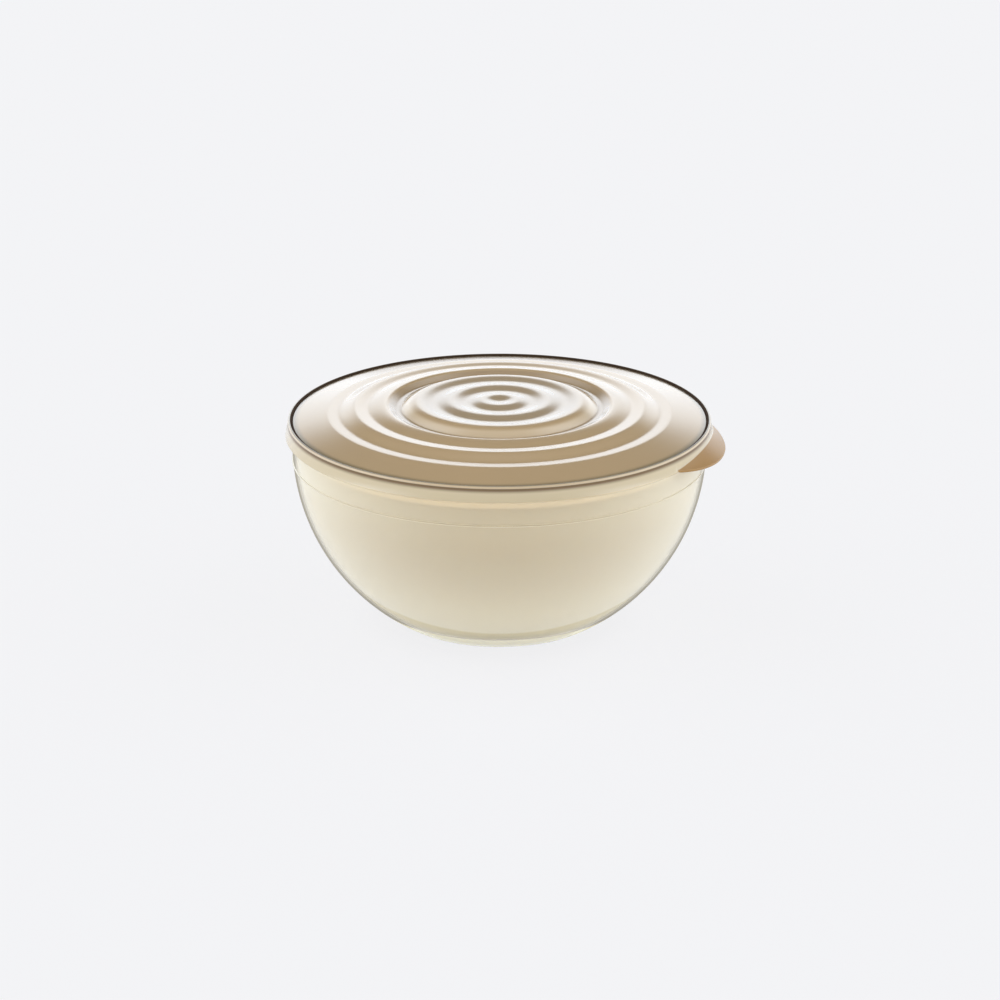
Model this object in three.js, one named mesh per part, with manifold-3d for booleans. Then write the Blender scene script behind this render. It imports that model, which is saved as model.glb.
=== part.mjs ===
// Round serving bowl with a rippled, press-fit lid: a pale outer shell on a foot ring, an opaque
// liner inside it, and a lid with a stacking groove and a pull tab.
// Millimetres, +Z up. The origin is on the table, under the bowl's axis. The tab points along +X.

import * as THREE from 'three';
import { mergeVertices } from 'three/addons/utils/BufferGeometryUtils.js';
import Module from 'manifold-3d';

// Driving dimensions of the bowl
const bowlRadius = 121; // outside of the round body, at its widest level
const footRadius = 60.2; // outer edge of the ring that stands on the table
const footWidth = 2.6; // flat of that ring
const recessDraft = 0.8; // how far the recess under the bowl narrows towards its ceiling
const neckHeight = 8; // straight wall from the widest level up to the shell's top edge
const shellWall = 1.6;
const shellFloor = 1.6;
const linerWall = 2;
const linerFloor = 2;
const layerGap = 0.3; // between shell and liner
const rimThickness = 2.2; // the liner's rim, which lies over the shell's top edge
const rimOverhang = 0.8; // how far that rim stands out past the shell
const mouthRounding = 0.8; // inner edge of the rim
const insideFillet = 20; // between the liner's round wall and its flat floor
const lineDrop = 8.3; // fine raised line on the shell, below the widest level
const lineRadius = 0.6; // its half-round section

// Driving dimensions of the lid
const seatGap = 0.3; // between the bowl's rim and the lid that rests on it
const lidClearance = 0.5; // skirt and locating ring to the bowl, at the side
const stackClearance = 0.4; // stacking groove to the foot and side of a bowl set on top
const crownClearance = 2.35; // from this lid's middle up to the recess of that bowl
const plateWall = 1.8;
const crownRise = 10.27; // middle of the lid above its raised rim
const crestDrop = 7.14; // fall of the dome from its middle to the last crest
const domePower = 3.88; // the dome is nearly flat in the middle and falls ever faster outwards
const grooveDepth = 4.75; // stacking groove below the middle of the lid
const crownMargin = 10.06; // from the crown's last crest out to the groove's floor
const lipRise = 2.85; // the groove's outer lip above its floor
const lipFall = 11.4; // from that lip out to the first valley
const crownRings = 3; // ripple crests inside the groove
const outerRings = 2; // ripple crests outside it, after its lip
const crownRipple = 1.29; // crest to valley, inside the groove
const outerRipple = 1.59; // crest to valley, outside it
const riseShare = 0.47; // share of an outer ripple's width that climbs to its crest
const crownSharpness = 0.4; // 1 gives zigzags, and nearly 0 plain waves
const outerSharpness = 0.92;
const plainBorder = 19.1; // plain slope between the last crest and the rim
const rimFloor = 3.64; // lid's thickness over the bowl's rim
const rimGrooveDepth = 1.46; // thin groove inside the raised rim
const rimGrooveWidth = 0.8;
const beadRadius = 1.1; // raised rim, round on top
const beadOverhang = 0.4; // how far it stands out past the skirt's line
const creaseHeight = 1.2; // crease between the raised rim and the skirt, below the bead's middle
const skirtWall = 1.7;
const skirtDepth = 4.2; // skirt below the bowl's rim
const skirtFlare = 0.25; // outward lean for each millimetre of height
const ringWall = 1.6; // locating ring inside the bowl's mouth
const ringDepth = 7.5;
const tabReach = 8.8; // pull tab past the skirt's lower edge, before it is tilted
const tabRadius = 63; // its rounded outline
const tabWall = 1.5;
const tabSlope = 0.37; // rise for each millimetre inwards from the tab's edge
const tabTilt = 14; // degrees, its edge hangs lower in the middle than at its two tips
const tabEdge = 0.4; // chamfers of the tab's edge

// Facets
const turnSegments = 48;
const tabSegments = 96;
const bodySteps = 9;
const topStepsPerRing = 6;
const undersideStepsPerRing = 4;

// Levels and radii that follow
const widestLevel = Math.sqrt(bowlRadius ** 2 - footRadius ** 2);
const recessRadius = footRadius - footWidth;
const recessDepth = grooveDepth + crownClearance;
const shellInside = bowlRadius - shellWall;
const linerOutside = shellInside - layerGap;
const linerInside = linerOutside - linerWall;
const shellTop = widestLevel + neckHeight;
const shellFloorTop = recessDepth + shellFloor;
const linerFloorBottom = shellFloorTop + layerGap;
const insideFloor = linerFloorBottom + linerFloor;
const rimBottom = shellTop + layerGap;
const rimTop = rimBottom + rimThickness;
const rimRadius = bowlRadius + rimOverhang;

const seatLevel = rimTop + seatGap;
const rimGrooveLevel = seatLevel + rimFloor;
const beadTop = rimGrooveLevel + rimGrooveDepth;
const crownTop = beadTop + crownRise;
const skirtInside = rimRadius + lidClearance;
const skirtBottom = seatLevel - skirtDepth;
const beadLevel = beadTop - beadRadius;
const creaseLevel = beadLevel - creaseHeight;
const beadCentre = skirtOutside(beadLevel) + beadOverhang - beadRadius;
const plateRadius = beadCentre - beadRadius - rimGrooveWidth;
const ringOutside = linerInside - lidClearance;
const ringInside = ringOutside - ringWall;
const ringBottom = seatLevel - ringDepth;

const grooveLevel = crownTop - grooveDepth;
const grooveInside = recessRadius - stackClearance;
const grooveOutside = footRadius + stackClearance;
const lipRadius = bodyRadius(lipRise) + stackClearance;
const crownRadius = grooveInside - crownMargin;
const crownPitch = crownRadius / (crownRings - 0.5);
const firstValley = lipRadius + lipFall;
const lastCrest = plateRadius - plainBorder;
const outerPitch = (lastCrest - firstValley) / (outerRings - 1 + riseShare);
const skirtRadius = skirtOutside(skirtBottom);
const tabCentre = skirtRadius + tabReach - tabRadius;
const tabHinge = (skirtRadius ** 2 + tabCentre ** 2 - tabRadius ** 2) / (2 * tabCentre);

function skirtOutside(level) {
  return skirtInside + skirtWall + skirtFlare * (seatLevel - level);
}

// Outside of the bowl's round body at a level
function bodyRadius(level) {
  return Math.sqrt(bowlRadius ** 2 - (widestLevel - level) ** 2);
}

// Points along an arc in the radius and height plane, from one angle to another, in degrees
function arc(centreRadius, centreLevel, radius, fromAngle, toAngle, steps) {
  return Array.from({ length: steps + 1 }, (_, i) => {
    const angle = THREE.MathUtils.degToRad(THREE.MathUtils.lerp(fromAngle, toAngle, i / steps));
    return [centreRadius + radius * Math.cos(angle), centreLevel + radius * Math.sin(angle)];
  });
}

// Angle on a round wall centred at the widest level, where it reaches the given level
function wallAngle(wallRadius, level) {
  return THREE.MathUtils.radToDeg(Math.asin((level - widestLevel) / wallRadius));
}

// A profile of [radius, height] points, anticlockwise round its material, turned about the Z axis
function turned(profile, segments) {
  const points = profile.map(([radius, height]) => new THREE.Vector2(radius, height));
  return new THREE.LatheGeometry(points, segments).rotateX(Math.PI / 2);
}

function bowlShell() {
  const footAngle = wallAngle(bowlRadius, 0);
  const lineAngle = wallAngle(bowlRadius, widestLevel - lineDrop);
  const lineSpan = THREE.MathUtils.radToDeg(lineRadius / bowlRadius);
  const lineTurn = 60; // degrees of its section on each side of its middle
  const [lineMiddle] = arc(0, widestLevel, bowlRadius, lineAngle, lineAngle, 1);
  return turned([
    [0, recessDepth],
    [recessRadius - recessDraft, recessDepth],
    [recessRadius, 0],
    ...arc(0, widestLevel, bowlRadius, footAngle, lineAngle - lineSpan, bodySteps),
    ...arc(...lineMiddle, lineRadius, lineAngle - lineTurn, lineAngle + lineTurn, 2),
    ...arc(0, widestLevel, bowlRadius, lineAngle + lineSpan, 0, 1),
    [bowlRadius, shellTop],
    [shellInside, shellTop],
    ...arc(0, widestLevel, shellInside, 0, wallAngle(shellInside, shellFloorTop), bodySteps),
    [0, shellFloorTop],
  ], turnSegments);
}

function bowlLiner() {
  const rimRounding = rimThickness / 2;
  const filletLevel = insideFloor + insideFillet;
  const filletRadius = Math.sqrt((linerInside - insideFillet) ** 2 - (widestLevel - filletLevel) ** 2);
  const filletAngle = wallAngle(linerInside - insideFillet, filletLevel);
  return turned([
    [0, linerFloorBottom],
    ...arc(0, widestLevel, linerOutside, wallAngle(linerOutside, linerFloorBottom), 0, bodySteps),
    [linerOutside, rimBottom],
    ...arc(rimRadius - rimRounding, rimBottom + rimRounding, rimRounding, -90, 90, 4),
    ...arc(linerInside + mouthRounding, rimTop - mouthRounding, mouthRounding, 90, 180, 2),
    ...arc(0, widestLevel, linerInside, 0, filletAngle, bodySteps - 2),
    ...arc(filletRadius, filletLevel, insideFillet, filletAngle, -90, 3).slice(1),
    [0, insideFloor],
  ], turnSegments);
}

// 0 in a ripple's valley, at a whole phase, and 1 on its crest, halfway
function ripple(phase, sharpness) {
  const swing = Math.asin(sharpness * Math.cos(2 * Math.PI * phase));
  return (1 - swing / Math.asin(sharpness)) / 2;
}

// Height of the dome that the crests touch
function dome(radius) {
  return crownTop - crestDrop * (radius / lastCrest) ** domePower;
}

// Past the crown's last crest, the surface falls ever faster to the groove's floor
function crownLevel(radius) {
  const share = (radius - crownRadius) / crownMargin;
  if (share > 0) return THREE.MathUtils.lerp(grooveLevel, dome(crownRadius), Math.cos(share * Math.PI / 2));
  return dome(radius) - crownRipple * (1 - ripple(radius / crownPitch, crownSharpness));
}

// Phase outside the groove: half a ripple down from the lip, then ripples with a short climb
function outerPhase(radius) {
  const rings = (radius - firstValley) / outerPitch;
  const along = rings - Math.floor(rings);
  if (radius < firstValley) return (radius - firstValley) / (2 * lipFall);
  if (along < riseShare) return along / (2 * riseShare);
  return (1 + (along - riseShare) / (1 - riseShare)) / 2;
}

// The groove's outer side follows the round body of a bowl set on top
function grooveSideLevel(radius) {
  return grooveLevel + widestLevel - Math.sqrt(bowlRadius ** 2 - (radius - stackClearance) ** 2);
}

// Outside the groove: ripples from its lip on, then a plain border that falls straight to the rim
function outerLevel(radius) {
  const share = (radius - lastCrest) / plainBorder;
  if (share > 0) return THREE.MathUtils.lerp(dome(lastCrest), rimGrooveLevel, share);
  const crest = radius < firstValley ? grooveLevel + lipRise : dome(radius);
  return THREE.MathUtils.lerp(dome(radius) - outerRipple, crest, ripple(outerPhase(radius), outerSharpness));
}

// The plate's top, or a line below it, from the axis out to endRadius
function plateLine(below, stepsPerRing, endRadius) {
  const line = [];
  const crownSteps = (crownRings - 0.5) * stepsPerRing;
  for (let i = 0; i <= crownSteps; i += 1) {
    const radius = i * crownPitch / stepsPerRing;
    line.push([radius, crownLevel(radius)]);
  }
  const marginSteps = stepsPerRing - 1;
  for (let i = 1; i <= marginSteps; i += 1) {
    const radius = crownRadius + crownMargin * i / marginSteps;
    line.push([radius, crownLevel(radius)]);
  }
  const sideSteps = stepsPerRing - 3;
  for (let i = 0; i <= sideSteps; i += 1) {
    const radius = THREE.MathUtils.lerp(grooveOutside, lipRadius, i / sideSteps);
    line.push([radius, grooveSideLevel(radius)]);
  }
  const lipSteps = stepsPerRing - 1;
  for (let i = 1; i < lipSteps; i += 1) {
    const radius = THREE.MathUtils.lerp(lipRadius, firstValley, i / lipSteps);
    line.push([radius, outerLevel(radius)]);
  }
  const climbSteps = Math.round(stepsPerRing * riseShare);
  for (let i = 0; i < (outerRings - 1) * stepsPerRing + climbSteps; i += 1) {
    const step = i % stepsPerRing;
    const fallen = (step - climbSteps) / (stepsPerRing - climbSteps);
    const climbed = riseShare * step / climbSteps;
    const share = step < climbSteps ? climbed : THREE.MathUtils.lerp(riseShare, 1, fallen);
    const radius = firstValley + (Math.floor(i / stepsPerRing) + share) * outerPitch;
    line.push([radius, outerLevel(radius)]);
  }
  const borderSteps = stepsPerRing - 1;
  for (let i = 0; i <= borderSteps; i += 1) {
    const radius = THREE.MathUtils.lerp(lastCrest, endRadius, i / borderSteps);
    line.push([radius, outerLevel(radius)]);
  }
  return line.map(([radius, level]) => [radius, level - below]);
}

function lidBody() {
  const skirtLean = THREE.MathUtils.radToDeg(Math.atan(skirtFlare));
  return turned([
    ...plateLine(plateWall, undersideStepsPerRing, ringInside),
    [ringInside, ringBottom],
    [ringOutside, ringBottom],
    [ringOutside, seatLevel],
    [skirtInside, seatLevel],
    [skirtRadius - skirtWall, skirtBottom],
    [skirtRadius, skirtBottom],
    [skirtOutside(creaseLevel), creaseLevel],
    ...arc(beadCentre, beadLevel, beadRadius, -skirtLean, 180, 5),
    ...plateLine(0, topStepsPerRing, plateRadius).reverse(),
  ], turnSegments);
}

// A shallow cone about the tab's own centre, tilted about its two tips on the skirt's lower edge, and
// cut off along the middle of the skirt's wall
function pullTab() {
  const rootSpan = 2 * tabReach;
  const rise = tabSlope * rootSpan;
  const tilt = THREE.MathUtils.degToRad(tabTilt);
  const cone = turned([
    [tabRadius - rootSpan, rise],
    [tabRadius - tabEdge, 0],
    [tabRadius, tabEdge],
    [tabRadius, tabWall - tabEdge],
    [tabRadius - tabEdge, tabWall],
    [tabRadius - rootSpan, tabWall + rise],
    [tabRadius - rootSpan, rise],
  ], tabSegments).translate(tabCentre - tabHinge, 0, 0).rotateY(tilt).translate(tabHinge, 0, skirtBottom);
  const cutBottom = skirtBottom - tabWall;
  const cutTop = skirtBottom + 2 * (tabWall + rise + tabRadius * Math.sin(tilt));
  const inside = turned([
    [0, cutBottom],
    [skirtOutside(cutBottom) - skirtWall / 2, cutBottom],
    [skirtOutside(cutTop) - skirtWall / 2, cutTop],
    [0, cutTop],
  ], turnSegments);
  return asSolid(cone).subtract(asSolid(inside));
}

const manifold = await Module();
manifold.setup();

// A closed geometry as a solid that can be joined and cut
function asSolid(geometry) {
  geometry.deleteAttribute('normal');
  geometry.deleteAttribute('uv');
  const merged = mergeVertices(geometry);
  const corners = merged.index.array;
  const triangles = [];
  for (let i = 0; i < corners.length; i += 3) {
    const [a, b, c] = corners.slice(i, i + 3);
    if (a !== b && b !== c && c !== a) triangles.push(a, b, c);
  }
  return new manifold.Manifold(new manifold.Mesh({
    numProp: 3,
    vertProperties: new Float32Array(merged.attributes.position.array),
    triVerts: new Uint32Array(triangles),
  }));
}

function asGeometry(solid) {
  const mesh = solid.getMesh();
  const geometry = new THREE.BufferGeometry();
  geometry.setAttribute('position', new THREE.BufferAttribute(mesh.vertProperties, 3));
  geometry.setIndex(new THREE.BufferAttribute(mesh.triVerts, 1));
  geometry.computeVertexNormals();
  return geometry;
}

function piece(name, geometry, look) {
  const mesh = new THREE.Mesh(geometry, new THREE.MeshStandardMaterial({ metalness: 0, ...look }));
  mesh.name = name;
  return mesh;
}

const lidGeometry = asGeometry(asSolid(lidBody()).add(pullTab()));

const bowl = new THREE.Group();
bowl.add(
  piece('bowl_shell', bowlShell(), { color: 0xf0e8cd, roughness: 0.12, transparent: true, opacity: 0.6 }),
  piece('bowl_liner', bowlLiner(), { color: 0xdccdad, roughness: 0.2 }),
);

const liddedBowl = new THREE.Group();
liddedBowl.add(bowl, piece('lid', lidGeometry, { color: 0xac9778, roughness: 0.15 }));

export default liddedBowl;
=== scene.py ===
import math

import bpy
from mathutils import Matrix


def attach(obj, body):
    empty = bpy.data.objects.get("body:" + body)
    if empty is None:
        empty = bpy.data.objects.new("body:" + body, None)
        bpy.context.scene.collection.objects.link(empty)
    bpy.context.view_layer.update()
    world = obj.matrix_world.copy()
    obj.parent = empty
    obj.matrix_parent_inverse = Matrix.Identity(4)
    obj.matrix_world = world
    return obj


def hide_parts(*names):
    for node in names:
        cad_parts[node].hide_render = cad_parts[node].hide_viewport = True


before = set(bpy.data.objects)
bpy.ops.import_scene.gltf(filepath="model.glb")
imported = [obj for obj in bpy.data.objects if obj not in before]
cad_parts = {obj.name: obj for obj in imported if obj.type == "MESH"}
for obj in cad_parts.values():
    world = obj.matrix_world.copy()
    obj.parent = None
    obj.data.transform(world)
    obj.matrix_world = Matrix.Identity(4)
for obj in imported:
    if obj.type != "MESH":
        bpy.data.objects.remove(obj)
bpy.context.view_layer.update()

print("frame loaded, nodes:", sorted(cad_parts))

scene = bpy.context.scene
scene.view_settings.view_transform = "Standard"


def addObject(name, data):
    thing = bpy.data.objects.new(name, data)
    scene.collection.objects.link(thing)
    return thing


# Camera, from the ellipses of the lid's rings in the photograph
cameraSetup = {
    "azimuth": 16.5,      # degrees, the tab comes round towards the viewer
    "elevation": 19.79,
    "distance": 2.0,      # metres, to the aim point
    "aim": (0.0003, 0.0001, 0.0688),
    "lens": 122.3,        # mm
    "sensor": 36,         # mm
    "farthest": 100,      # metres
}


def addCamera(setup):
    data = bpy.data.cameras.new("photoCamera")
    data.sensor_fit = "HORIZONTAL"
    data.sensor_width = setup["sensor"]
    data.lens = setup["lens"]
    data.clip_end = setup["farthest"]
    camera = addObject("photoCamera", data)
    turn = math.radians(setup["azimuth"])
    lift = math.radians(setup["elevation"])
    reach = setup["distance"] * math.cos(lift)
    aimX, aimY, aimZ = setup["aim"]
    camera.location = (
        aimX + reach * math.sin(turn),
        aimY - reach * math.cos(turn),
        aimZ + setup["distance"] * math.sin(lift),
    )
    camera.rotation_euler = (math.radians(90) - lift, 0, turn)
    scene.camera = camera


addCamera(cameraSetup)
print("camera placed")


# Small helpers for node trees
def setInput(tree, socket, value):    # links another node's output, or sets a plain value
    if hasattr(value, "is_output"):
        tree.links.new(value, socket)
    else:
        socket.default_value = value


def addNode(tree, kind, inputs=None, **settings):
    node = tree.nodes.new(kind)
    for name, value in settings.items():
        setattr(node, name, value)
    for key, value in (inputs or {}).items():
        setInput(tree, node.inputs[key], value)
    return node


def calculate(tree, operation, first, second=0.0, clamp=False):
    node = addNode(tree, "ShaderNodeMath", {0: first, 1: second}, operation=operation, use_clamp=clamp)
    return node.outputs[0]


def smoothStep(tree, value, start, end):    # 0 to 1 as value goes from start to end
    bounds = {"Value": value, "From Min": start, "From Max": end}
    return addNode(tree, "ShaderNodeMapRange", bounds, interpolation_type="SMOOTHSTEP").outputs["Result"]


def mixValue(tree, share, first, second):
    node = addNode(tree, "ShaderNodeMix", {"Factor": share, "A": first, "B": second}, data_type="FLOAT")
    return node.outputs["Result"]


def mixColour(tree, share, first, second, way="MIX"):
    node = addNode(tree, "ShaderNodeMix", {"Factor": share}, data_type="RGBA", blend_type=way)
    for key, value in (("A", first), ("B", second)):
        socket = next(s for s in node.inputs if s.name == key and s.type == "RGBA")
        setInput(tree, socket, value)
    return next(s for s in node.outputs if s.type == "RGBA")


def axisDistance(tree, parts):
    squareX = calculate(tree, "POWER", parts["X"], 2.0)
    squareY = calculate(tree, "POWER", parts["Y"], 2.0)
    return calculate(tree, "SQRT", calculate(tree, "ADD", squareX, squareY))


def addSockets(tree, inputs, outputs):
    for name, (kind, value) in inputs.items():
        socket = tree.interface.new_socket(name, in_out="INPUT", socket_type=kind)
        if value is not None:
            socket.default_value = value
    for name, kind in outputs.items():
        tree.interface.new_socket(name, in_out="OUTPUT", socket_type=kind)


def emptyTree(owner):    # of a world or a material
    owner.use_nodes = True
    owner.node_tree.nodes.clear()
    return owner.node_tree


# Studio: white near the horizon, a dim gap behind and above it, soft walls of light at both sides
studio = {
    "lowLight": 1.58,
    "lowTop": (16, 30),        # degrees of elevation over which the low white fades out
    "gapLight": 0.05,
    "wallLight": 1.6,
    "wallStart": (26, 50),     # degrees to each side of the view
    "wallEnd": (105, 150),
    "panelLight": 1.95,        # bright panel behind the bowl
    "panelLow": (9, 19),
    "panelTop": (21, 33),
    "panelHalf": (2, 14),      # degrees to each side
    "sideLight": 2.7,
    "sideStart": (58, 92),
    "sideTop": (10, 26),
    "frontLight": 0.6,
    "topLight": 0.55,
    "topStart": (54, 76),      # degrees of elevation
    "coolColour": (0.92, 0.975, 1.04, 1),
    "frontColour": (1, 1, 1, 1),
    "floorColour": (0.93, 0.93, 0.94, 1),
    "paleFloor": (0.902, 0.902, 0.918, 1),
    "shadowKept": 0.08,        # share of the floor's own light and shadow that the viewer sees
    "floorSize": 400.0,        # metres
}


def addStudio(setup):
    world = bpy.data.worlds.new("softStudio")
    scene.world = world
    tree = emptyTree(world)
    turned = addNode(tree, "ShaderNodeMapping", {
        "Vector": addNode(tree, "ShaderNodeTexCoord").outputs["Generated"],
        "Rotation": (0, 0, -math.radians(cameraSetup["azimuth"])),
    })
    parts = addNode(tree, "ShaderNodeSeparateXYZ", {0: turned.outputs[0]}).outputs
    degree = math.degrees(1)
    height = calculate(tree, "MULTIPLY", calculate(tree, "ARCSINE", parts["Z"]), degree)
    bearing = calculate(tree, "ARCTAN2", parts["X"], parts["Y"])
    aside = calculate(tree, "MULTIPLY", calculate(tree, "ABSOLUTE", bearing), degree)

    def higher(span):
        return smoothStep(tree, height, *setup[span])

    def wider(span):
        return smoothStep(tree, aside, *setup[span])

    front = wider("wallEnd")
    panel = calculate(tree, "SUBTRACT", higher("panelLow"), higher("panelTop"))
    panel = calculate(tree, "SUBTRACT", panel, wider("panelHalf"), clamp=True)
    lowSides = calculate(tree, "SUBTRACT", wider("sideStart"), higher("sideTop"), clamp=True)
    upper = mixValue(tree, wider("wallStart"), setup["gapLight"], setup["wallLight"])
    level = mixValue(tree, higher("lowTop"), setup["lowLight"], upper)
    level = mixValue(tree, panel, level, setup["panelLight"])
    level = mixValue(tree, lowSides, level, setup["sideLight"])
    level = mixValue(tree, front, level, setup["frontLight"])
    level = mixValue(tree, higher("topStart"), level, setup["topLight"])
    colour = mixColour(tree, front, setup["coolColour"], setup["frontColour"])
    sky = addNode(tree, "ShaderNodeBackground", {"Color": colour, "Strength": level})
    addNode(tree, "ShaderNodeOutputWorld", {"Surface": sky.outputs[0]})


def addFloor(setup):
    mesh = bpy.data.meshes.new("studioFloor")
    half = setup["floorSize"] / 2
    corners = [(-half, -half, 0), (half, -half, 0), (half, half, 0), (-half, half, 0)]
    mesh.from_pydata(corners, [], [(0, 1, 2, 3)])
    floor = addObject("studioFloor", mesh)
    material = bpy.data.materials.new("paleFloor")
    tree = emptyTree(material)
    matt = addNode(tree, "ShaderNodeBsdfDiffuse", {"Color": setup["floorColour"]})
    pale = addNode(tree, "ShaderNodeEmission", {"Color": setup["paleFloor"]})
    path = addNode(tree, "ShaderNodeLightPath").outputs
    seen = calculate(tree, "ADD", path["Is Camera Ray"], path["Is Glossy Ray"])
    seen = calculate(tree, "ADD", seen, path["Is Transmission Ray"], clamp=True)
    share = calculate(tree, "MULTIPLY", seen, 1 - setup["shadowKept"])
    mixed = addNode(tree, "ShaderNodeMixShader", {0: share, 1: matt.outputs[0], 2: pale.outputs[0]})
    addNode(tree, "ShaderNodeOutputMaterial", {"Surface": mixed.outputs[0]})
    mesh.materials.append(material)


addStudio(studio)
addFloor(studio)
print("studio lit")


# Shared shader groups
plasticSetup = {
    "cloudDetail": 3.0,
    "cloudRoughness": 0.55,
    "peelDetail": 1.5,
    "noiseMean": 0.5,
    "bumpStrength": 0.2,
    "refraction": 1.5,
    "farAway": 1.0,       # metres, past everything on the part
}


def mouldedFinishGroup(setup):
    tree = bpy.data.node_groups.new("mouldedFinish", "ShaderNodeTree")
    addSockets(tree, {
        "Cloud Scale": ("NodeSocketFloat", 14.0),
        "Cloud Amount": ("NodeSocketFloat", 0.05),
        "Peel Scale": ("NodeSocketFloat", 500.0),
        "Roughness": ("NodeSocketFloat", 0.15),
        "Roughness Spread": ("NodeSocketFloat", 0.05),
    }, {"Tone": "NodeSocketFloat", "Roughness": "NodeSocketFloat", "Height": "NodeSocketFloat"})
    given = addNode(tree, "NodeGroupInput").outputs
    where = addNode(tree, "ShaderNodeTexCoord").outputs["Object"]
    clouds = addNode(tree, "ShaderNodeTexNoise", {
        "Vector": where,
        "Scale": given["Cloud Scale"],
        "Detail": setup["cloudDetail"],
        "Roughness": setup["cloudRoughness"],
    }).outputs["Fac"]
    peel = addNode(tree, "ShaderNodeTexNoise", {
        "Vector": where,
        "Scale": given["Peel Scale"],
        "Detail": setup["peelDetail"],
    }).outputs["Fac"]
    swing = calculate(tree, "SUBTRACT", clouds, setup["noiseMean"])
    swing = calculate(tree, "MULTIPLY", swing, given["Cloud Amount"])
    tone = calculate(tree, "ADD", calculate(tree, "MULTIPLY", swing, 2.0), 1.0)
    wear = calculate(tree, "SUBTRACT", peel, setup["noiseMean"])
    wear = calculate(tree, "MULTIPLY", wear, given["Roughness Spread"])
    roughness = calculate(tree, "ADD", given["Roughness"], wear, clamp=True)
    addNode(tree, "NodeGroupOutput", {"Tone": tone, "Roughness": roughness, "Height": peel})
    return tree


def ringZoneGroup():
    tree = bpy.data.node_groups.new("ringZone", "ShaderNodeTree")
    addSockets(tree, {
        "Inner Radius": ("NodeSocketFloat", 0.0),
        "Outer Radius": ("NodeSocketFloat", 1.0),
        "Lean": ("NodeSocketFloat", 0.0),
        "Low": ("NodeSocketFloat", -1.0),
        "High": ("NodeSocketFloat", 1.0),
        "Blur": ("NodeSocketFloat", 0.0005),
    }, {"Mask": "NodeSocketFloat"})
    given = addNode(tree, "NodeGroupInput").outputs
    where = addNode(tree, "ShaderNodeTexCoord").outputs["Object"]
    parts = addNode(tree, "ShaderNodeSeparateXYZ", {0: where}).outputs
    lean = calculate(tree, "MULTIPLY", parts["Z"], given["Lean"])
    radius = calculate(tree, "ADD", axisDistance(tree, parts), lean)

    def above(value, limit):
        low = calculate(tree, "SUBTRACT", limit, given["Blur"])
        high = calculate(tree, "ADD", limit, given["Blur"])
        return smoothStep(tree, value, low, high)

    def within(value, low, high):
        below = calculate(tree, "SUBTRACT", 1.0, above(value, high))
        return calculate(tree, "MULTIPLY", above(value, low), below)

    across = within(radius, given["Inner Radius"], given["Outer Radius"])
    upwards = within(parts["Z"], given["Low"], given["High"])
    addNode(tree, "NodeGroupOutput", {"Mask": calculate(tree, "MULTIPLY", across, upwards)})
    return tree


mouldedFinish = mouldedFinishGroup(plasticSetup)
ringZone = ringZoneGroup()


def zoneMask(tree, blur, inner=None, outer=None, low=None, high=None, lean=0.0):
    far = plasticSetup["farAway"]
    node = addNode(tree, "ShaderNodeGroup", {
        "Inner Radius": -far if inner is None else inner,
        "Outer Radius": far if outer is None else outer,
        "Lean": lean,
        "Low": -far if low is None else low,
        "High": far if high is None else high,
        "Blur": blur,
    }, node_tree=ringZone)
    return node.outputs["Mask"]


def newMaterial(name):
    material = bpy.data.materials.new(name)
    tree = emptyTree(material)
    plastic = addNode(tree, "ShaderNodeBsdfPrincipled", {"IOR": plasticSetup["refraction"]})
    addNode(tree, "ShaderNodeOutputMaterial", {"Surface": plastic.outputs[0]})
    return material, tree, plastic.inputs


def applyFinish(tree, plastic, look, colour, matt=0.0):
    finish = addNode(tree, "ShaderNodeGroup", {
        "Cloud Scale": look["cloudScale"],
        "Cloud Amount": look["cloudAmount"],
        "Peel Scale": look["peelScale"],
        "Roughness": look["roughness"],
        "Roughness Spread": look["roughnessSpread"],
    }, node_tree=mouldedFinish).outputs
    bump = addNode(tree, "ShaderNodeBump", {
        "Height": finish["Height"],
        "Strength": plasticSetup["bumpStrength"],
        "Distance": look["peelDepth"],
    })
    setInput(tree, plastic["Base Color"], mixColour(tree, 1.0, colour, finish["Tone"], "MULTIPLY"))
    setInput(tree, plastic["Roughness"], calculate(tree, "MAXIMUM", finish["Roughness"], matt))
    setInput(tree, plastic["Normal"], bump.outputs[0])


# Turned pieces: a profile of (radius, height) points from axis to axis, anticlockwise round the material
axisLimit = 1e-7    # metres, a ring smaller than this is one point


def arcPoints(centreRadius, centreLevel, radius, fromAngle, toAngle, steps):
    points = []
    for i in range(steps + 1):
        angle = math.radians(fromAngle + (toAngle - fromAngle) * i / steps)
        points.append((centreRadius + radius * math.cos(angle), centreLevel + radius * math.sin(angle)))
    return points


def turnedMesh(name, profile, turns, centre=(0.0, 0.0), closed=False):
    vertices = []
    rings = []
    for radius, level in profile:
        if radius < axisLimit:
            rings.append([len(vertices)] * turns)
            vertices.append((centre[0], centre[1], level))
        else:
            rings.append(list(range(len(vertices), len(vertices) + turns)))
            for k in range(turns):
                angle = 2 * math.pi * k / turns
                x = centre[0] + radius * math.cos(angle)
                y = centre[1] + radius * math.sin(angle)
                vertices.append((x, y, level))
    faces = []
    pairs = list(zip(rings, rings[1:]))
    if closed:
        pairs.append((rings[-1], rings[0]))
    for here, there in pairs:
        for k in range(turns):
            corners = [here[k], here[(k + 1) % turns], there[(k + 1) % turns], there[k]]
            unique = list(dict.fromkeys(corners))
            if len(unique) > 2:
                faces.append(unique)
    mesh = bpy.data.meshes.new(name)
    mesh.from_pydata(vertices, [], faces)
    return mesh, rings


def addPiece(name, mesh, material, smoothAngle):
    for polygon in mesh.polygons:
        polygon.use_smooth = True
    mesh.set_sharp_from_angle(angle=math.radians(smoothAngle))
    mesh.materials.clear()
    mesh.materials.append(material)
    return addObject(name, mesh)


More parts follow.
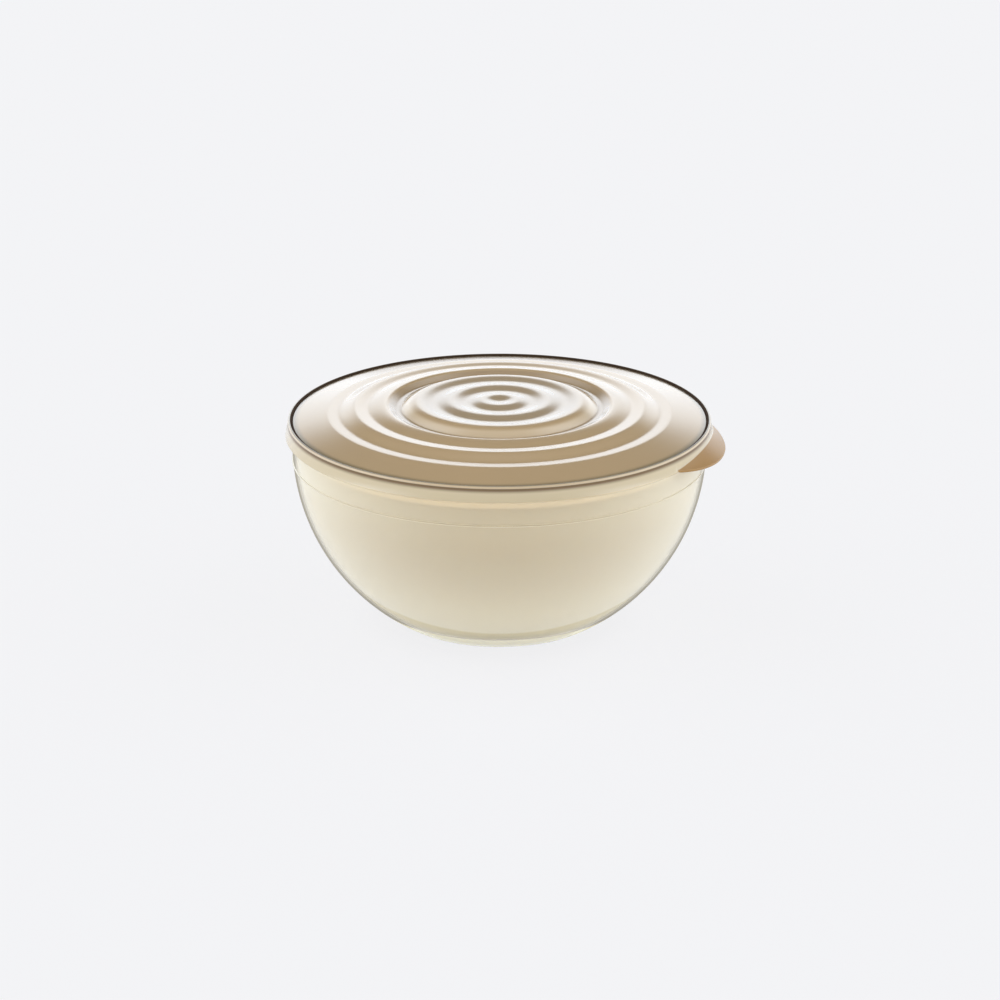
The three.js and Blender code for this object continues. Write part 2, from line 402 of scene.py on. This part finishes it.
# Bowl: sizes in metres, the same as the solids
bowlSizes = {
    "radius": 0.121,
    "footRadius": 0.0602,
    "footWidth": 0.0026,
    "recessDraft": 0.0008,
    "recessDepth": 0.0071,
    "neck": 0.008,
    "shellWall": 0.0016,
    "shellFloor": 0.0016,
    "linerWall": 0.002,
    "linerFloor": 0.002,
    "gap": 0.0003,
    "rimThickness": 0.0022,
    "rimOverhang": 0.0008,
    "mouthRounding": 0.0008,
    "insideFillet": 0.02,
    "lineDrop": 0.0083,
    "lineRadius": 0.0006,
    "lineSweep": 60,       # degrees to each side of the line's middle
    "edgeRounding": 0.0003,
    "turns": 192,
    "wallSteps": 72,
    "lineSteps": 8,
    "neckSteps": 6,
    "rimSteps": 12,
    "mouthSteps": 6,
    "filletSteps": 16,
    "smoothAngle": 40,     # degrees
}
widestLevel = math.sqrt(bowlSizes["radius"] ** 2 - bowlSizes["footRadius"] ** 2)
shellInside = bowlSizes["radius"] - bowlSizes["shellWall"]
linerOutside = shellInside - bowlSizes["gap"]
linerInside = linerOutside - bowlSizes["linerWall"]
shellTop = widestLevel + bowlSizes["neck"]
shellFloorTop = bowlSizes["recessDepth"] + bowlSizes["shellFloor"]
rimBottom = shellTop + bowlSizes["gap"]
rimTop = rimBottom + bowlSizes["rimThickness"]
rimRadius = bowlSizes["radius"] + bowlSizes["rimOverhang"]


def wallAngle(wallRadius, level):
    return math.degrees(math.asin((level - widestLevel) / wallRadius))


def wallArc(wallRadius, fromAngle, toAngle, steps):
    return arcPoints(0, widestLevel, wallRadius, fromAngle, toAngle, steps)


def shellProfile(s):
    foot = wallAngle(s["radius"], 0)
    line = wallAngle(s["radius"], widestLevel - s["lineDrop"])
    span = math.degrees(s["lineRadius"] / s["radius"])
    sweep = s["lineSweep"]
    lineMiddle = wallArc(s["radius"], line, line, 1)[0]
    recess = s["footRadius"] - s["footWidth"]
    edge = s["edgeRounding"]
    return [
        (0, s["recessDepth"]),
        (recess - s["recessDraft"] - edge, s["recessDepth"]),
        (recess - s["recessDraft"], s["recessDepth"] - edge),
        (recess - edge, edge * 2),
        (recess, 0),
        *wallArc(s["radius"], foot, line - span, s["wallSteps"]),
        *arcPoints(*lineMiddle, s["lineRadius"], line - sweep, line + sweep, s["lineSteps"]),
        *wallArc(s["radius"], line + span, 0, s["neckSteps"]),
        (s["radius"], shellTop - edge),
        (s["radius"] - edge, shellTop),
        (shellInside + edge, shellTop),
        (shellInside, shellTop - edge),
        *wallArc(shellInside, 0, wallAngle(shellInside, shellFloorTop), s["wallSteps"]),
        (0, shellFloorTop),
    ]


def linerProfile(s):
    floorBottom = shellFloorTop + s["gap"]
    insideFloor = floorBottom + s["linerFloor"]
    rounding = s["rimThickness"] / 2
    mouth = s["mouthRounding"]
    filletLevel = insideFloor + s["insideFillet"]
    filletWall = linerInside - s["insideFillet"]
    filletRadius = math.sqrt(filletWall ** 2 - (widestLevel - filletLevel) ** 2)
    filletAngle = wallAngle(filletWall, filletLevel)
    return [
        (0, floorBottom),
        *wallArc(linerOutside, wallAngle(linerOutside, floorBottom), 0, s["wallSteps"]),
        (linerOutside, rimBottom),
        *arcPoints(rimRadius - rounding, rimBottom + rounding, rounding, -90, 90, s["rimSteps"]),
        *arcPoints(linerInside + mouth, rimTop - mouth, mouth, 90, 180, s["mouthSteps"]),
        *wallArc(linerInside, 0, filletAngle, s["wallSteps"]),
        *arcPoints(filletRadius, filletLevel, s["insideFillet"], filletAngle, -90, s["filletSteps"])[1:],
        (0, insideFloor),
    ]


shellLook = {
    "colour": (0.98, 0.925, 0.77, 1),
    "limbReflection": (0.28, 0.24, 0.15, 1),      # painted reflection: the clear wall seen along its edge, darkened as if mirroring dark surroundings
    "limbStart": (0.75, 0.90),          # share that the wall is turned away from the eye
    "limbMatt": 0.5,
    "milkiness": 0.28,                  # seen square on; the wall looks ever more solid as it turns away
    "turnedMilkiness": 0.72,
    "edgeShadeBand": (0.84, 0.75, 0.50, 1),  # painted shade: the liner's lower edge, seen through the wall, darkened as if in shade
    "edgeLean": 14.3,
    "edgeStart": (0.34, 0.40),
    # painted shade: a dark line at the top of the foot, where the liner's bottom corner sits in the shell
    "edgeShadeLine": (0.52, 0.41, 0.18, 1),
    "edgeLineStart": 0.06,              # metres from the axis
    "edgeLineBelow": 0.0003,            # metres, from the top of the foot
    "edgeLineAbove": 0.0008,
    "edgeLineBlur": 0.0004,
    "foot": (1.0, 0.88, 0.30, 1),
    "footMatt": 0.6,
    "footClearness": 0.45,              # the foot ring has no liner behind it
    "footTop": 0.0104,
    "footBlur": 0.0006,
    "facingBlend": 0.5,
    "roughness": 0.10,
    "roughnessSpread": 0.03,
    "cloudScale": 9.0,
    "cloudAmount": 0.02,
    "peelScale": 420.0,
    "peelDepth": 0.00004,
}


def shellMaterial(look):
    material, tree, plastic = newMaterial("clearCreamShell")
    footTop = look["footTop"]
    foot = zoneMask(tree, look["footBlur"], high=footTop)
    # painted shade line at the top of the foot
    line = zoneMask(tree, look["edgeLineBlur"], inner=look["edgeLineStart"],
                    low=footTop - look["edgeLineBelow"], high=footTop + look["edgeLineAbove"])
    turnedAway = addNode(tree, "ShaderNodeLayerWeight", {"Blend": look["facingBlend"]}).outputs["Facing"]
    wall = calculate(tree, "SUBTRACT", 1.0, foot)
    # painted dark reflection along the outline, where the wall turns away from the eye
    limbReflection = calculate(tree, "MULTIPLY", smoothStep(tree, turnedAway, *look["limbStart"]), wall)
    where = addNode(tree, "ShaderNodeTexCoord").outputs["Object"]
    height = addNode(tree, "ShaderNodeSeparateXYZ", {0: where}).outputs["Z"]
    raised = calculate(tree, "MULTIPLY", height, look["edgeLean"])
    # painted shade where the liner's lower edge shows through the wall
    band = smoothStep(tree, calculate(tree, "SUBTRACT", turnedAway, raised), *look["edgeStart"])
    colour = mixColour(tree, band, look["colour"], look["edgeShadeBand"])
    colour = mixColour(tree, limbReflection, colour, look["limbReflection"])
    colour = mixColour(tree, foot, colour, look["foot"])
    colour = mixColour(tree, line, colour, look["edgeShadeLine"])
    footMatt = calculate(tree, "MULTIPLY", foot, look["footMatt"])
    limbMatt = calculate(tree, "MULTIPLY", limbReflection, look["limbMatt"])
    applyFinish(tree, plastic, look, colour, calculate(tree, "MAXIMUM", limbMatt, footMatt))
    milk = calculate(tree, "MULTIPLY", turnedAway, look["turnedMilkiness"])
    milk = calculate(tree, "ADD", milk, look["milkiness"], clamp=True)
    clear = calculate(tree, "MULTIPLY", foot, look["footClearness"])
    milk = calculate(tree, "MULTIPLY", milk, calculate(tree, "SUBTRACT", 1.0, clear))
    inner = addNode(tree, "ShaderNodeNewGeometry").outputs["Backfacing"]
    milk = calculate(tree, "MULTIPLY", milk, calculate(tree, "SUBTRACT", 1.0, inner))
    setInput(tree, plastic["Alpha"], milk)
    return material


linerLook = {
    "colour": (0.69, 0.50, 0.21, 1),
    # painted light: paler below the rim, standing in for light through the clear shell
    "upper": (0.80, 0.64, 0.36, 1),
    "upperZone": {"inner": 0.02, "low": 0.088, "blur": 0.014},
    # painted light: paler towards the bottom, standing in for light bounced off the floor
    "lower": (0.95, 0.79, 0.42, 1),
    "lowerZone": {"inner": 0.02, "high": 0.04, "blur": 0.025},
    # painted shade: darker at the liner's lower edge
    "edge": (0.30, 0.22, 0.12, 1),
    "edgeZone": {"inner": 0.02, "high": 0.0125, "blur": 0.0016},
    "paintedRimGlow": (0.20, 0.17, 0.125, 1),   # painted glow, standing in for light that the clear shell carries up to its top edge
    "paintedRimGlowZone": {"inner": 0.02, "low": 0.1066, "high": 0.115, "blur": 0.001},
    "noGlow": (0, 0, 0, 1),
    "roughness": 0.22,
    "roughnessSpread": 0.05,
    "cloudScale": 11.0,
    "cloudAmount": 0.035,
    "peelScale": 380.0,
    "peelDepth": 0.00005,
}


def linerMaterial(look):
    material, tree, plastic = newMaterial("creamLiner")
    colour = look["colour"]
    # the upper and lower zones paint light, the edge zone paints shade
    for name in ("upper", "lower", "edge"):
        colour = mixColour(tree, zoneMask(tree, **look[name + "Zone"]), colour, look[name])
    applyFinish(tree, plastic, look, colour)
    # painted glow below the skirt, lifting its shade; the part is no lamp
    glow = mixColour(tree, zoneMask(tree, **look["paintedRimGlowZone"]), look["noGlow"], look["paintedRimGlow"])
    setInput(tree, plastic["Emission Color"], glow)
    setInput(tree, plastic["Emission Strength"], 1.0)
    return material


def buildBowl():
    shellMesh, _ = turnedMesh("clearShell", shellProfile(bowlSizes), bowlSizes["turns"])
    shell = addPiece("clearShell", shellMesh, shellMaterial(shellLook), bowlSizes["smoothAngle"])
    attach(shell, "bowl")
    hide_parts("bowl_shell")
    linerMesh, _ = turnedMesh("creamLiner", linerProfile(bowlSizes), bowlSizes["turns"])
    liner = addPiece("creamLiner", linerMesh, linerMaterial(linerLook), bowlSizes["smoothAngle"])
    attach(liner, "bowl")
    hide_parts("bowl_liner")


buildBowl()
print("bowl built")


# Lid: sizes in metres, the same as the solid
# but for rounder ripples and lip, and a border that ends 0.5 mm higher
lidSizes = {
    "seatGap": 0.0003,
    "sideClearance": 0.0005,
    "plateWall": 0.0018,
    "crownRise": 0.01027,
    "crestDrop": 0.00714,
    "domePower": 3.88,
    "stackClearance": 0.0004,
    "grooveDepth": 0.00475,
    "crownMargin": 0.01006,
    "grooveInside": 0.0572,
    "grooveOutside": 0.0606,
    "lipRise": 0.00285,
    "lipRounding": 0.0014,
    "lipFall": 0.0114,
    "crownRings": 3,
    "outerRings": 2,
    "crownRipple": 0.00129,
    "outerRipple": 0.00156,
    "riseShare": 0.47,
    "crownSharpness": 0.4,
    "outerSharpness": 0.86,
    "plainBorder": 0.0191,
    "rimFloor": 0.00364,
    "rimGrooveDepth": 0.00146,
    "borderLift": 0.0005,
    "rimGrooveWidth": 0.0008,
    "beadRadius": 0.0011,
    "beadOverhang": 0.0004,
    "creaseHeight": 0.0012,
    "skirtWall": 0.0017,
    "skirtDepth": 0.0042,
    "skirtFlare": 0.25,
    "skirtRounding": 0.0004,
    "skirtRoundingIn": 0.00004,
    "ringWall": 0.0016,
    "ringDepth": 0.0075,
    "tabReach": 0.0088,
    "tabRadius": 0.063,
    "tabWall": 0.0015,
    "tabSlope": 0.37,
    "tabTilt": 14,         # degrees
    "tabEdge": 0.0004,
    "turns": 256,
    "tabTurns": 256,
    "topSteps": 30,        # along each ripple
    "undersideSteps": 10,
    "grooveSteps": 8,
    "lipSteps": 8,
    "borderSteps": 16,
    "beadSteps": 20,
    "tabEdgeSteps": 4,
    "smoothAngle": 35,     # degrees
}
seatLevel = rimTop + lidSizes["seatGap"]
rimGrooveLevel = seatLevel + lidSizes["rimFloor"]
beadTop = rimGrooveLevel + lidSizes["rimGrooveDepth"]
crownTop = beadTop + lidSizes["crownRise"]
skirtInside = rimRadius + lidSizes["sideClearance"]
skirtBottom = seatLevel - lidSizes["skirtDepth"]
beadLevel = beadTop - lidSizes["beadRadius"]
creaseLevel = beadLevel - lidSizes["creaseHeight"]


def skirtOutside(level):
    return skirtInside + lidSizes["skirtWall"] + lidSizes["skirtFlare"] * (seatLevel - level)


beadCentre = skirtOutside(beadLevel) + lidSizes["beadOverhang"] - lidSizes["beadRadius"]
plateRadius = beadCentre - lidSizes["beadRadius"] - lidSizes["rimGrooveWidth"]
ringOutside = linerInside - lidSizes["sideClearance"]
ringInside = ringOutside - lidSizes["ringWall"]
ringBottom = seatLevel - lidSizes["ringDepth"]
grooveLevel = crownTop - lidSizes["grooveDepth"]
bodyAtLip = math.sqrt(bowlSizes["radius"] ** 2 - (widestLevel - lidSizes["lipRise"]) ** 2)
lipRadius = bodyAtLip + lidSizes["stackClearance"]
lipLevel = grooveLevel + lidSizes["lipRise"]
crownRadius = lidSizes["grooveInside"] - lidSizes["crownMargin"]
crownTurns = lidSizes["crownRings"] - 0.5    # from a valley on the axis to a crest
crownPitch = crownRadius / crownTurns
firstValley = lipRadius + lidSizes["lipFall"]
lastCrest = plateRadius - lidSizes["plainBorder"]
outerPitch = (lastCrest - firstValley) / (lidSizes["outerRings"] - 1 + lidSizes["riseShare"])
skirtRadius = skirtOutside(skirtBottom)
tabCentre = skirtRadius + lidSizes["tabReach"] - lidSizes["tabRadius"]
tabHinge = (skirtRadius ** 2 + tabCentre ** 2 - lidSizes["tabRadius"] ** 2) / (2 * tabCentre)


def dome(radius):    # touches the crests of the ripples
    return crownTop - lidSizes["crestDrop"] * (radius / lastCrest) ** lidSizes["domePower"]


def grooveSide(radius):    # follows the round body of a bowl set on top
    body = radius - lidSizes["stackClearance"]
    return grooveLevel + widestLevel - math.sqrt(bowlSizes["radius"] ** 2 - body ** 2)


def lipShare(radius):    # the lip stays below the dome
    return (lipLevel - dome(radius)) / lidSizes["outerRipple"] + 1


def lipCrest(radius):    # 1 on the lip, 0 in the first valley
    swing = lidSizes["outerSharpness"] * math.cos(math.pi * (radius - firstValley) / lidSizes["lipFall"])
    return (1 - math.asin(swing) / math.asin(lidSizes["outerSharpness"])) / 2


def plateLine(s, below, stepsPerRing, endRadius):    # (radius, height, ripple share) from the axis outwards
    line = []
    crownSteps = int(crownTurns * stepsPerRing)
    for i in range(crownSteps + 1):
        radius = crownRadius * i / crownSteps
        line.append((radius, dome(radius) - s["crownRipple"], 1))
    for i in range(1, stepsPerRing + 1):    # falls ever faster to the groove's floor
        out = i / stepsPerRing
        level = grooveLevel + (dome(crownRadius) - grooveLevel) * math.cos(out * math.pi / 2)
        line.append((crownRadius + s["crownMargin"] * out, level, 0))
    depth = s["outerRipple"]
    sideEnd = lipRadius - s["lipRounding"]
    for i in range(s["grooveSteps"] + 1):
        radius = s["grooveOutside"] + (sideEnd - s["grooveOutside"]) * i / s["grooveSteps"]
        line.append((radius, grooveSide(radius), 0))
    lipEnd = lipRadius + s["lipRounding"]
    endLevel = dome(lipEnd) - depth + depth * lipShare(lipEnd) * lipCrest(lipEnd)
    for i in range(1, s["lipSteps"]):    # rounded lip
        far = i / s["lipSteps"]
        near = 1 - far
        radius = near ** 2 * sideEnd + 2 * near * far * lipRadius + far ** 2 * lipEnd
        level = near ** 2 * grooveSide(sideEnd) + 2 * near * far * lipLevel + far ** 2 * endLevel
        line.append((radius, level, 0))
    for i in range(stepsPerRing):
        radius = lipEnd + (firstValley - lipEnd) * i / stepsPerRing
        line.append((radius, dome(radius) - depth, lipShare(radius)))
    rise = s["riseShare"]
    climbSteps = round(stepsPerRing * rise)
    for i in range((s["outerRings"] - 1) * stepsPerRing + climbSteps):
        ring, step = divmod(i, stepsPerRing)
        if step < climbSteps:
            share = rise * step / climbSteps
        else:
            share = rise + (1 - rise) * (step - climbSteps) / (stepsPerRing - climbSteps)
        radius = firstValley + (ring + share) * outerPitch
        line.append((radius, dome(radius) - depth, 1))
    borderFall = dome(lastCrest) - rimGrooveLevel - s["borderLift"]
    for i in range(s["borderSteps"] + 1):
        radius = lastCrest + (endRadius - lastCrest) * i / s["borderSteps"]
        out = (radius - lastCrest) / s["plainBorder"]
        line.append((radius, dome(lastCrest) - borderFall * out, 0))
    return [(radius, level - below, share) for radius, level, share in line]


def lidProfile(s):
    lean = math.degrees(math.atan(s["skirtFlare"]))
    innerEdge = skirtRadius - s["skirtWall"]
    rounding = s["skirtRounding"]
    rim = [
        (ringInside, ringBottom),
        (ringOutside, ringBottom),
        (ringOutside, seatLevel),
        (skirtInside, seatLevel),
        (innerEdge, skirtBottom + rounding),
        (innerEdge + rounding, skirtBottom),
        (skirtRadius - rounding, skirtBottom),
        (skirtRadius - s["skirtRoundingIn"], skirtBottom + rounding),
        (skirtOutside(creaseLevel), creaseLevel),
        *arcPoints(beadCentre, beadLevel, s["beadRadius"], -lean, 180, s["beadSteps"]),
    ]
    return [
        *plateLine(s, s["plateWall"], s["undersideSteps"], ringInside),
        *[(radius, level, 0) for radius, level in rim],
        *reversed(plateLine(s, 0, s["topSteps"], plateRadius)),
    ]


# Geometry Nodes tree that raises the lid's concentric ripples on the smooth dome
shareName = "rippleShare"    # vertex attribute, how much of the ripple a vertex takes


def rippleTree():
    tree = bpy.data.node_groups.new("lidRipples", "GeometryNodeTree")
    addSockets(tree, {
        "Geometry": ("NodeSocketGeometry", None),
        "Crown Pitch": ("NodeSocketFloat", 0.02),
        "Crown Ripple": ("NodeSocketFloat", 0.001),
        "Groove Radius": ("NodeSocketFloat", 0.06),
        "Lip Fall": ("NodeSocketFloat", 0.015),
        "First Valley": ("NodeSocketFloat", 0.08),
        "Outer Pitch": ("NodeSocketFloat", 0.02),
        "Outer Ripple": ("NodeSocketFloat", 0.001),
        "Rise Share": ("NodeSocketFloat", 0.4),
        "Crown Sharpness": ("NodeSocketFloat", 0.4),
        "Outer Sharpness": ("NodeSocketFloat", 0.9),
        "Plastic": ("NodeSocketMaterial", None),
    }, {"Geometry": "NodeSocketGeometry"})
    given = addNode(tree, "NodeGroupInput").outputs
    place = addNode(tree, "GeometryNodeInputPosition").outputs[0]
    radius = axisDistance(tree, addNode(tree, "ShaderNodeSeparateXYZ", {0: place}).outputs)

    def choose(test, no, yes):
        step = calculate(tree, "SUBTRACT", yes, no)
        return calculate(tree, "ADD", no, calculate(tree, "MULTIPLY", step, test))

    rise = given["Rise Share"]
    pastValley = calculate(tree, "SUBTRACT", radius, given["First Valley"])
    along = calculate(tree, "FRACT", calculate(tree, "DIVIDE", pastValley, given["Outer Pitch"]))
    climb = calculate(tree, "DIVIDE", calculate(tree, "MINIMUM", along, rise), rise)
    past = calculate(tree, "MAXIMUM", calculate(tree, "SUBTRACT", along, rise), 0.0)
    fall = calculate(tree, "DIVIDE", past, calculate(tree, "SUBTRACT", 1.0, rise))
    ringTurns = calculate(tree, "ADD", climb, fall)
    lipTurns = calculate(tree, "DIVIDE", pastValley, given["Lip Fall"])
    outerTurns = choose(calculate(tree, "GREATER_THAN", pastValley, 0.0), lipTurns, ringTurns)
    innerTurns = calculate(tree, "MULTIPLY", calculate(tree, "DIVIDE", radius, given["Crown Pitch"]), 2.0)
    isOuter = calculate(tree, "GREATER_THAN", radius, given["Groove Radius"])
    halfTurns = choose(isOuter, innerTurns, outerTurns)    # even in a valley, odd on a crest
    depth = choose(isOuter, given["Crown Ripple"], given["Outer Ripple"])
    wave = calculate(tree, "COSINE", calculate(tree, "MULTIPLY", halfTurns, math.pi))
    sharpness = choose(isOuter, given["Crown Sharpness"], given["Outer Sharpness"])
    swing = calculate(tree, "ARCSINE", calculate(tree, "MULTIPLY", wave, sharpness))
    low = calculate(tree, "DIVIDE", swing, calculate(tree, "ARCSINE", sharpness))
    crest = calculate(tree, "MULTIPLY", calculate(tree, "SUBTRACT", 1.0, low), 0.5)
    share = addNode(tree, "GeometryNodeInputNamedAttribute", {"Name": shareName}, data_type="FLOAT")
    lift = calculate(tree, "MULTIPLY", calculate(tree, "MULTIPLY", crest, depth), share.outputs[0])
    offset = addNode(tree, "ShaderNodeCombineXYZ", {"Z": lift}).outputs[0]
    shape = given["Geometry"]
    for kind, inputs in (
        ("GeometryNodeSetPosition", {"Offset": offset}),
        ("GeometryNodeRemoveAttribute", {"Name": shareName}),
        ("GeometryNodeRealizeInstances", {}),
        ("GeometryNodeSetMaterial", {"Material": given["Plastic"]}),
    ):
        shape = addNode(tree, kind, {"Geometry": shape, **inputs}).outputs[0]
    addNode(tree, "NodeGroupOutput", {"Geometry": shape})
    return tree


def finishedMesh(piece, name):    # what the modifiers make, as a plain mesh
    bpy.context.view_layer.update()
    graph = bpy.context.evaluated_depsgraph_get()
    mesh = bpy.data.meshes.new_from_object(piece.evaluated_get(graph))
    mesh.name = name
    return mesh


def rippledBody(s, material):
    profile = lidProfile(s)
    outline = [(radius, level) for radius, level, _ in profile]
    mesh, rings = turnedMesh("lidBody", outline, s["turns"])
    shares = [0.0] * len(mesh.vertices)
    for ring, (_, _, share) in zip(rings, profile):
        for corner in ring:
            shares[corner] = float(share)
    mesh.attributes.new(shareName, "FLOAT", "POINT").data.foreach_set("value", shares)
    body = addObject("lidBody", mesh)
    ripples = body.modifiers.new("ripples", "NODES")
    ripples.node_group = rippleTree()
    values = {
        "Crown Pitch": crownPitch,
        "Crown Ripple": s["crownRipple"],
        "Groove Radius": s["grooveInside"],
        "Lip Fall": s["lipFall"],
        "First Valley": firstValley,
        "Outer Pitch": outerPitch,
        "Outer Ripple": s["outerRipple"],
        "Rise Share": s["riseShare"],
        "Crown Sharpness": s["crownSharpness"],
        "Outer Sharpness": s["outerSharpness"],
        "Plastic": material,
    }
    for item in ripples.node_group.interface.items_tree:
        if item.in_out == "INPUT" and item.name in values:
            ripples[item.identifier] = values[item.name]
    result = finishedMesh(body, "lidBodyRippled")
    bpy.data.objects.remove(body)
    return result


def cutOrJoin(piece, tool, operation):
    step = piece.modifiers.new(operation.lower(), "BOOLEAN")
    step.operation = operation
    step.solver = "MANIFOLD"
    step.object = tool
    mesh = finishedMesh(piece, piece.name)
    bpy.data.objects.remove(piece)
    bpy.data.objects.remove(tool)
    return mesh


def tabMesh(s):    # a tilted ring, cut off where it meets the skirt
    span = 2 * s["tabReach"]
    rise = s["tabSlope"] * span
    edge = s["tabEdge"]
    outer = s["tabRadius"]
    ring, _ = turnedMesh("tabRing", [
        (outer - span, rise),
        *arcPoints(outer - edge, edge, edge, -90, 0, s["tabEdgeSteps"]),
        *arcPoints(outer - edge, s["tabWall"] - edge, edge, 0, 90, s["tabEdgeSteps"]),
        (outer - span, s["tabWall"] + rise),
    ], s["tabTurns"], (tabCentre - tabHinge, 0), closed=True)
    tilt = math.radians(s["tabTilt"])
    for corner in ring.vertices:
        x, y, z = corner.co
        corner.co = (
            tabHinge + x * math.cos(tilt) + z * math.sin(tilt),
            y,
            skirtBottom - x * math.sin(tilt) + z * math.cos(tilt),
        )
    low = skirtBottom - s["tabWall"]
    high = skirtBottom + 2 * (s["tabWall"] + rise + outer * math.sin(tilt))
    middle = s["skirtWall"] / 2
    plug, _ = turnedMesh("skirtPlug", [
        (0, low),
        (skirtOutside(low) - middle, low),
        (skirtOutside(high) - middle, high),
        (0, high),
    ], s["turns"])
    return cutOrJoin(addObject("tabRing", ring), addObject("skirtPlug", plug), "DIFFERENCE")


lidLook = {
    "plate": (0.53, 0.372, 0.204, 1),
    "crown": (0.435, 0.32, 0.195, 1),
    # painted light: the crown's shoulder is lighter, as if lit from the front
    "litShoulder": (0.66, 0.50, 0.31, 1),
    # painted shade: the groove floor and the lip's inner side are darker, as if in shade
    "lipSideShade": (0.40, 0.275, 0.145, 1),
    # painted shade: the groove between the plate and the bead, darkened as if in shade
    "rimGrooveShade": (0.25, 0.19, 0.10, 1),
    # painted shade on the bead's inner side, together with the deeper colour of thick plastic
    "rimInsideShade": (0.045, 0.022, 0.008, 1),
    # painted highlight: the bead's top and outer side are lighter, as if catching a reflection
    "rimTop": (0.66, 0.50, 0.31, 1),
    # painted shade: a dark line in the crease under the bead
    "crease": (0.20, 0.125, 0.06, 1),
    # painted light: the upright skirt is lighter cream, as if lit from the front
    "skirt": (0.67, 0.55, 0.35, 1),
    # painted shade: the pull tab is darker brown, as if in shade
    "tab": (0.41, 0.225, 0.068, 1),
    "roughness": 0.17,
    "roughnessSpread": 0.04,
    "coatRoughness": 0.17,
    "cloudScale": 13.0,
    "cloudAmount": 0.04,
    "peelScale": 460.0,
    "peelDepth": 0.00004,
}
zoneMargins = {    # metres between a colour's edge and the shape that it follows
    "litShoulder": 0.005,
    "lipSideShade": 0.001,
    "rimGrooveShade": 0.0018,
    "grooveFloor": 0.001,
    "rimInsideShade": 0.0001,
    "rimInsideEnd": 0.0002,
    "rimTop": 0.0006,
    "bead": 0.0003,
    "skirt": 0.0003,
    "skirtTop": 0.0010,
    "tab": 0.0003,
    "tabTop": 0.0006,
}
plateLow = 0.125    # metres, the raised part of the lid is above this
lidZones = {    # in the order that they are painted
    "crown": {"outer": crownRadius, "low": plateLow, "blur": 0.003},
    # painted light on the crown's shoulder
    "litShoulder": {
        "inner": crownRadius + zoneMargins["litShoulder"],
        "outer": lidSizes["grooveInside"],
        "low": plateLow,
        "blur": 0.0015,
    },
    # painted shade in the groove and on the lip's inner side
    "lipSideShade": {
        "inner": lidSizes["grooveInside"],
        "outer": lipRadius - zoneMargins["lipSideShade"],
        "low": plateLow,
        "blur": 0.0007,
    },
    # painted shade in the rim groove
    "rimGrooveShade": {
        "inner": plateRadius - zoneMargins["rimGrooveShade"],
        "low": rimGrooveLevel - zoneMargins["grooveFloor"],
        "blur": 0.0018,
    },
    # painted shade on the bead's inner side, partly the colour of thick plastic
    "rimInsideShade": {
        "inner": plateRadius - zoneMargins["rimInsideShade"],
        "outer": beadCentre - zoneMargins["rimInsideEnd"],
        "low": rimGrooveLevel - zoneMargins["grooveFloor"],
        "blur": 0.0001,
    },
    # painted highlight on the bead's top and outer side
    "rimTop": {
        "inner": beadCentre + zoneMargins["rimTop"],
        "low": beadLevel - zoneMargins["bead"],
        "blur": 0.0003,
    },
    # painted shade in the crease under the bead
    "crease": {"inner": beadCentre, "high": beadLevel - zoneMargins["bead"], "blur": 0.0003},
    # painted light on the skirt
    "skirt": {
        "inner": skirtInside - zoneMargins["skirt"],
        "high": creaseLevel - zoneMargins["skirtTop"],
        "blur": 0.0012,
    },
    # painted shade on the pull tab
    "tab": {
        "inner": skirtOutside(0) + zoneMargins["tab"],
        "lean": lidSizes["skirtFlare"],
        "high": creaseLevel - zoneMargins["tabTop"],
        "blur": 0.0002,
    },
}


def lidMaterial(look):
    material, tree, plastic = newMaterial("taupeLid")
    masks = {name: zoneMask(tree, **zone) for name, zone in lidZones.items()}
    # the plate and crown take the lid's own colours; the other zones paint light and shade onto them
    colour = look["plate"]
    for name, mask in masks.items():
        colour = mixColour(tree, mask, colour, look[name])
    applyFinish(tree, plastic, look, colour, masks["rimInsideShade"])
    creased = calculate(tree, "SUBTRACT", masks["crease"], masks["skirt"], clamp=True)
    uncoated = calculate(tree, "MAXIMUM", masks["rimInsideShade"], masks["tab"])
    uncoated = calculate(tree, "MAXIMUM", uncoated, creased)
    setInput(tree, plastic["Coat Weight"], calculate(tree, "SUBTRACT", 1.0, uncoated))
    setInput(tree, plastic["Coat Roughness"], look["coatRoughness"])
    return material


def buildLid():
    material = lidMaterial(lidLook)
    body = addObject("lidBody", rippledBody(lidSizes, material))
    mesh = cutOrJoin(body, addObject("pullTab", tabMesh(lidSizes)), "UNION")
    lid = addPiece("rippledLid", mesh, material, lidSizes["smoothAngle"])
    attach(lid, "lid")
    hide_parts("lid")
    print("lid built, faces:", len(mesh.polygons))


buildLid()
